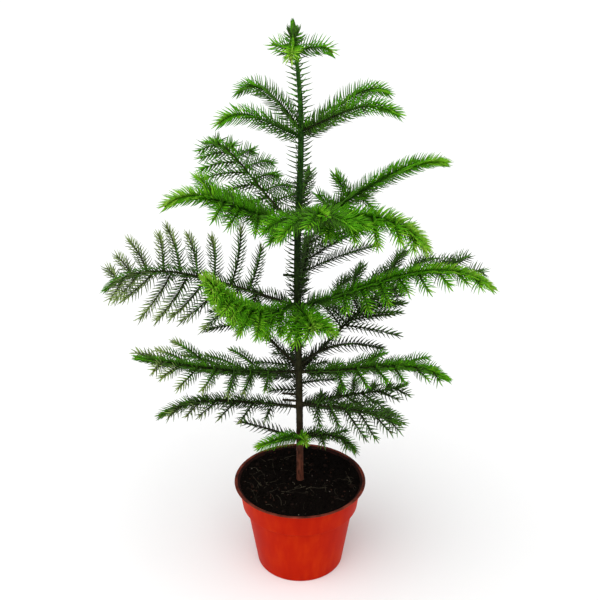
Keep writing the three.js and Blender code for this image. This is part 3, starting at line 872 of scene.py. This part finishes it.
def make_soil():
    """Bed of peat that fills the pot, and what lies on it."""
    inset = POT_WALL + 2 * GAP
    top = [(SOIL_RADIUS * (1 - i / SOIL_RINGS), SOIL_EDGE) for i in range(SOIL_RINGS)]
    parts = lathe([
        (0, POT_FLOOR + GAP),
        (FOOT_RADIUS - inset, POT_FLOOR + GAP),
        (BODY_TOP_RADIUS - inset, COLLAR_BOTTOM + POT_WALL),
        (BODY_TOP_RADIUS - inset, COLLAR_BOTTOM + 2.5 * POT_WALL),
        (COLLAR_BOTTOM_RADIUS - inset, COLLAR_BOTTOM + 2.5 * POT_WALL),
        (COLLAR_TOP_RADIUS - inset, COLLAR_TOP),
        *top, (0, SOIL_EDGE)], POT_SIDES)
    points = parts.points[0]
    upper = points[:, 2] >= SOIL_EDGE
    radius = np.hypot(points[upper, 0], points[upper, 1])
    points[upper, 2] = soil_height(radius, np.arctan2(points[upper, 1], points[upper, 0]))
    peat = soil_material("peat", srgb(5, 3, 2), srgb(17, 12, 9), scale=500, depth=0.0008)
    make_piece("peat_bed", parts.mesh("peat_bed"), [peat], ["soil"])
    clod = soil_material("clumps", srgb(9, 6, 5), srgb(36, 26, 22), scale=420, depth=0.0008)
    litter = soil_material("litter", srgb(26, 15, 11), srgb(58, 38, 30), scale=300, depth=0.0006)
    chalk = soil_material("chalk", srgb(70, 62, 56), srgb(128, 118, 108), scale=300, depth=0.0004,
                          specular=0.05)
    make_crumbs("peat_crumbs", *CRUMBS, peat)
    make_crumbs("peat_clumps", *CLUMPS, clod)
    make_crumbs("peat_litter", *LITTER, litter)
    make_crumbs("peat_flecks", *FLECKS, chalk)
    make_fibres()


def make_crumbs(name, count, larger, material):
    """Crumbs strewn over the soil, most of them near the smallest size."""
    work = bmesh.new()
    bmesh.ops.create_icosphere(work, subdivisions=1, radius=1)
    corners = np.array([v.co for v in work.verts])
    faces = np.array([[v.index for v in f.verts] for f in work.faces])
    work.free()
    parts = Parts()
    for _ in range(count):
        size = CRUMB_SMALLEST + larger * draw.random() ** RARITY
        radius = (SOIL_RADIUS - size) * math.sqrt(draw.random())
        turn = 2 * math.pi * draw.random()
        if radius < TRUNK_RADIUS + ROOT_FLARE + size:
            continue
        place = (radius * math.cos(turn), radius * math.sin(turn), float(soil_height(radius, turn)))
        stretch = size * draw.uniform(*CRUMB_STRETCH, 3)
        shape = corners * draw.uniform(*CRUMB_ROUGHNESS, (len(corners), 1)) * stretch
        parts.add(shape + place, faces)
    make_piece(name, parts.mesh(name), [material])


def make_fibres():
    """Root and peat fibres that lie on the soil."""
    parts = Parts()
    away = SOIL_RADIUS * np.sqrt(draw.random(TANGLES))
    turn = 2 * np.pi * draw.random(TANGLES)
    tangles = np.stack([away * np.cos(turn), away * np.sin(turn)], -1)
    share = np.linspace(0, 1, FIBRE_POINTS)
    for _ in range(FIBRES):
        length = FIBRE_SHORTEST + (FIBRE_LONGEST - FIBRE_SHORTEST) * draw.random() ** RARITY
        foot = tangles[draw.integers(TANGLES)] + TANGLE_REACH * draw.standard_t(TANGLE_TAIL, 2)
        ahead = draw.uniform(0, 2 * math.pi)
        angle = ahead + draw.normal(0, FIBRE_BEND) * share
        step = length / (FIBRE_POINTS - 1)
        x = foot[0] + step * np.cumsum(np.cos(angle))
        y = foot[1] + step * np.cumsum(np.sin(angle))
        away = np.hypot(x, y)
        if away.max() > SOIL_RADIUS - FIBRE_CLEAR or away.min() < TRUNK_RADIUS + 2 * ROOT_FLARE:
            continue
        lie = soil_height(away, np.arctan2(y, x)) + FIBRE_LIFT + FIBRE_ARCH * np.sin(np.pi * share)
        line = np.stack([x, y, lie], -1)
        axes = unit(np.gradient(line, axis=0))
        thick = draw.uniform(*FIBRE_RADII) * (1 - FIBRE_TAPER * share)
        add_tube(parts, line, axes, np.repeat(thick[:, None], FIBRE_SIDES, 1))
    make_piece("peat_fibres", parts.mesh("peat_fibres"), [fibre_material()])


# Wood

def bark_relief(angle, height, bark):
    """Waves round and along a stem that add up to bark, as a share of the stem's radius."""
    waves = np.random.default_rng(BARK_SEED)
    total = 0
    for _ in range(bark.waves):
        around = waves.integers(*bark.turns)
        along = 2 * np.pi / waves.uniform(*bark.pitch)
        side = waves.choice([-1, 1])
        phase = waves.uniform(0, BARK_PHASE)
        total = total + np.cos(around * angle + along * height * side + phase)
    return bark.depth * (total / math.sqrt(bark.waves))


def add_stub(parts, foot, azimuth, length):
    """Stub of a cut twig at a height on the trunk."""
    axis = heading(azimuth, STUB_RISE)
    line = trunk_centre(foot) + axis * np.linspace(0, 1, STUB_RINGS)[:, None] * (length + trunk_radius(foot))
    angle = np.linspace(0, STUB_BARK_TURN, STUB_SIDES)[None]
    along = np.linspace(0, STUB_BARK_LENGTH, STUB_RINGS)[:, None]
    radii = STUB_RADIUS * (1 + bark_relief(angle, along, STUB_BARK))
    add_tube(parts, line, np.tile(axis, (STUB_RINGS, 1)), radii)


def make_trunk():
    """Trunk with fissured bark, a swelling at each tier, and the stubs of cut twigs."""
    parts = Parts()
    height = np.arange(SOIL_TOP - TRUNK_SUNK, TRUNK_TIP, TRUNK_RING_STEP)
    relief = bark_relief(ring_angles(TRUNK_SIDES)[None], height[:, None], TRUNK_BARK)
    whorls = sum(np.exp(-((height - tier.height) / WHORL_SWELLING_HEIGHT) ** 2) for tier in TIERS)
    smooth = trunk_radius(height)
    swelling = WHORL_SWELLING * (whorls * smooth / TRUNK_RADIUS)[:, None]
    radii = smooth[:, None] * (1 + relief) + swelling
    add_tube(parts, trunk_centre(height), np.tile(UP, (len(height), 1)), radii)
    for foot, azimuth, length in STUBS:
        add_stub(parts, foot, azimuth, length)
    make_piece("trunk_bark", parts.mesh("trunk_bark"), [bark_material()], ["trunk"])


def add_wood(parts, stem, wood):
    """Rough round wood of a limb or twig."""
    t = np.linspace(0, 1, max(FEWEST_RINGS, int(stem.length / wood.step)))
    relief = bark_relief(ring_angles(wood.sides)[None], (t * stem.length)[:, None], LIMB_BARK)
    add_tube(parts, stem.point(t), stem.tangent(t), stem.radius(t)[:, None] * (1 + relief))


def add_bud(parts, stem, size):
    """Bud at the tip of a stem."""
    share, radius = np.array(BUD_PROFILE).T
    tip = stem.point(np.array(1.0))
    axis = stem.tangent(np.array(1.0))
    line = tip + axis * (share * BUD_LENGTH * size - BUD_SUNK * size)[:, None]
    radii = np.repeat((radius * size)[:, None], BUD_SIDES, 1)
    add_tube(parts, line, np.tile(axis, (len(share), 1)), radii)


def grow_tier(tier, barks, buds):
    """Wood and buds of a tier, joined by the age of its bark. Gives the stems that carry needles."""
    needled = []
    wood = {age: (Parts(), []) for age in barks}
    for number, limb in enumerate(tier.limbs):
        stem, thickness = limb_stem(tier, number, limb)
        start = BOUGH_SHARE if tier.bare else float(trunk_radius(tier.height)) / limb.length
        bough = stem.stretch(0, start, (thickness * BOUGH_RADIUS, stem.radii[0]),
                             (limb.tone - BOUGH_DULLER, limb.tone),
                             grown_on(tier, ON_BOUGH, limb.crowd * limb.core))
        spray = stem.stretch(start, 1, stem.radii, stem.tones, stem.growth)
        twigs = twigs_of(tier, number, limb, stem)
        parts, nodes = wood["young" if limb.tone > YOUNG_FROM else "old"]
        nodes.append(f"{tier.name}_spray_{limb.side}")
        if tier.bare:
            nodes.append(f"{tier.name}_bough_{limb.side}")
            needled.append(bough.stretch(BOUGH_NEEDLES_FROM, 1, bough.radii, bough.tones, bough.growth))
        add_wood(parts, bough, BOUGH_WOOD)
        add_wood(parts, spray, LIMB_WOOD)
        for twig in twigs:
            add_wood(parts, twig, TWIG_WOOD)
            add_bud(buds, twig, TWIG_BUD)
        add_bud(buds, spray, LIMB_BUD)
        needled += [spray, *twigs]
    for age, (parts, nodes) in wood.items():
        name = f"{tier.name}_wood_{age}"
        if nodes:
            make_piece(name, parts.mesh(name), [barks[age]], nodes)
    return needled


def top_stems():
    """The upper trunk, the tuft at its tip and the tuft's collar."""
    height = TRUNK_TIP - NEEDLES_FROM
    upper = Stem(lambda t: trunk_centre(NEEDLES_FROM + height * t), lambda t: np.tile(UP, (len(t), 1)),
                 height, (float(trunk_radius(NEEDLES_FROM)), float(trunk_radius(TRUNK_TIP))),
                 TRUNK_TONES, ON_TRUNK)
    tuft = Stem(lambda t: trunk_centre(TRUNK_TIP - TUFT_SUNK + TUFT_RISE * np.asarray(t, float)),
                lambda t: np.tile(UP, (*np.shape(t), 1)), TUFT_RISE, TUFT_RADII, TUFT_TONES, ON_TUFT)
    collar = tuft.stretch(0, COLLAR_SHARE, tuft.radii, COLLAR_TONES, ON_COLLAR)
    return upper, tuft, collar


def make_needles(stems):
    """Needles of these stems, joined by kind."""
    needles = [np.concatenate(column) for column in zip(*(needles_of(stem) for stem in stems))]
    for number, kind in enumerate(KINDS):
        chosen = np.flatnonzero(needles[-1] == number)
        material = needle_material(kind)
        for share, rows in enumerate(np.array_split(chosen, 1 + len(chosen) // NEEDLES_PER_PIECE), 1):
            parts = Parts()
            add_needles(parts, *(column[rows] for column in needles[:-1]))
            name = f"needles_{kind}_{share}"
            make_piece(name, parts.mesh(name), [material])


def grow_plant():
    """Wood, buds and needles of every tier and of the trunk's tip."""
    buds = Parts()
    barks = {age: limb_material(age) for age in LIMB_BARKS}
    stems = []
    for tier in TIERS:
        stems += grow_tier(tier, barks, buds)
    upper, tuft, collar = top_stems()
    add_bud(buds, tuft, TOP_BUD)
    make_needles([*stems, upper, tuft, collar])
    make_piece("buds", buds.mesh("buds"), [bud_material()], ["tip_tuft"])


# Stage

def make_floor(scene):
    work = bmesh.new()
    bmesh.ops.create_circle(work, cap_ends=True, segments=FLOOR_SIDES, radius=FLOOR_RADIUS)
    mesh = bpy.data.meshes.new("floor")
    work.to_mesh(mesh)
    work.free()
    floor = bpy.data.objects.new("floor", mesh)
    scene.collection.objects.link(floor)
    pale, *_ = new_material("floor", Base_Color=FLOOR_COLOUR, Roughness=0.9, Specular_IOR_Level=0.1)
    mesh.materials.append(pale)


def make_lights(scene):
    for name, azimuth, elevation, strength, angle in LAMPS:
        lamp = bpy.data.lights.new(name, "SUN")
        lamp.energy = strength
        lamp.angle = math.radians(angle)
        light = bpy.data.objects.new(name, lamp)
        light.rotation_euler = (math.radians(90 - elevation), 0, math.radians(azimuth + 90))
        scene.collection.objects.link(light)
    world = bpy.data.worlds.new("studio")
    world.use_nodes = True
    background = world.node_tree.nodes["Background"]
    background.inputs["Color"].default_value = (1, 1, 1, 1)
    background.inputs["Strength"].default_value = WORLD_STRENGTH
    scene.world = world


def make_camera(scene):
    camera = bpy.data.objects.new("camera", bpy.data.cameras.new("camera"))
    camera.data.sensor_width = CAMERA_SENSOR
    camera.data.lens = CAMERA_LENS
    camera.location = CAMERA_PLACE
    camera.rotation_euler = (math.radians(90 - CAMERA_DIP), 0, 0)
    scene.collection.objects.link(camera)
    scene.camera = camera


def make_stage():
    """Plain pale floor, soft light from the front left and from all round, and the photograph's camera."""
    scene = bpy.context.scene
    scene.view_settings.view_transform = "Standard"
    make_floor(scene)
    make_lights(scene)
    make_camera(scene)


make_stage()
make_pot()
make_soil()
make_trunk()
grow_plant()
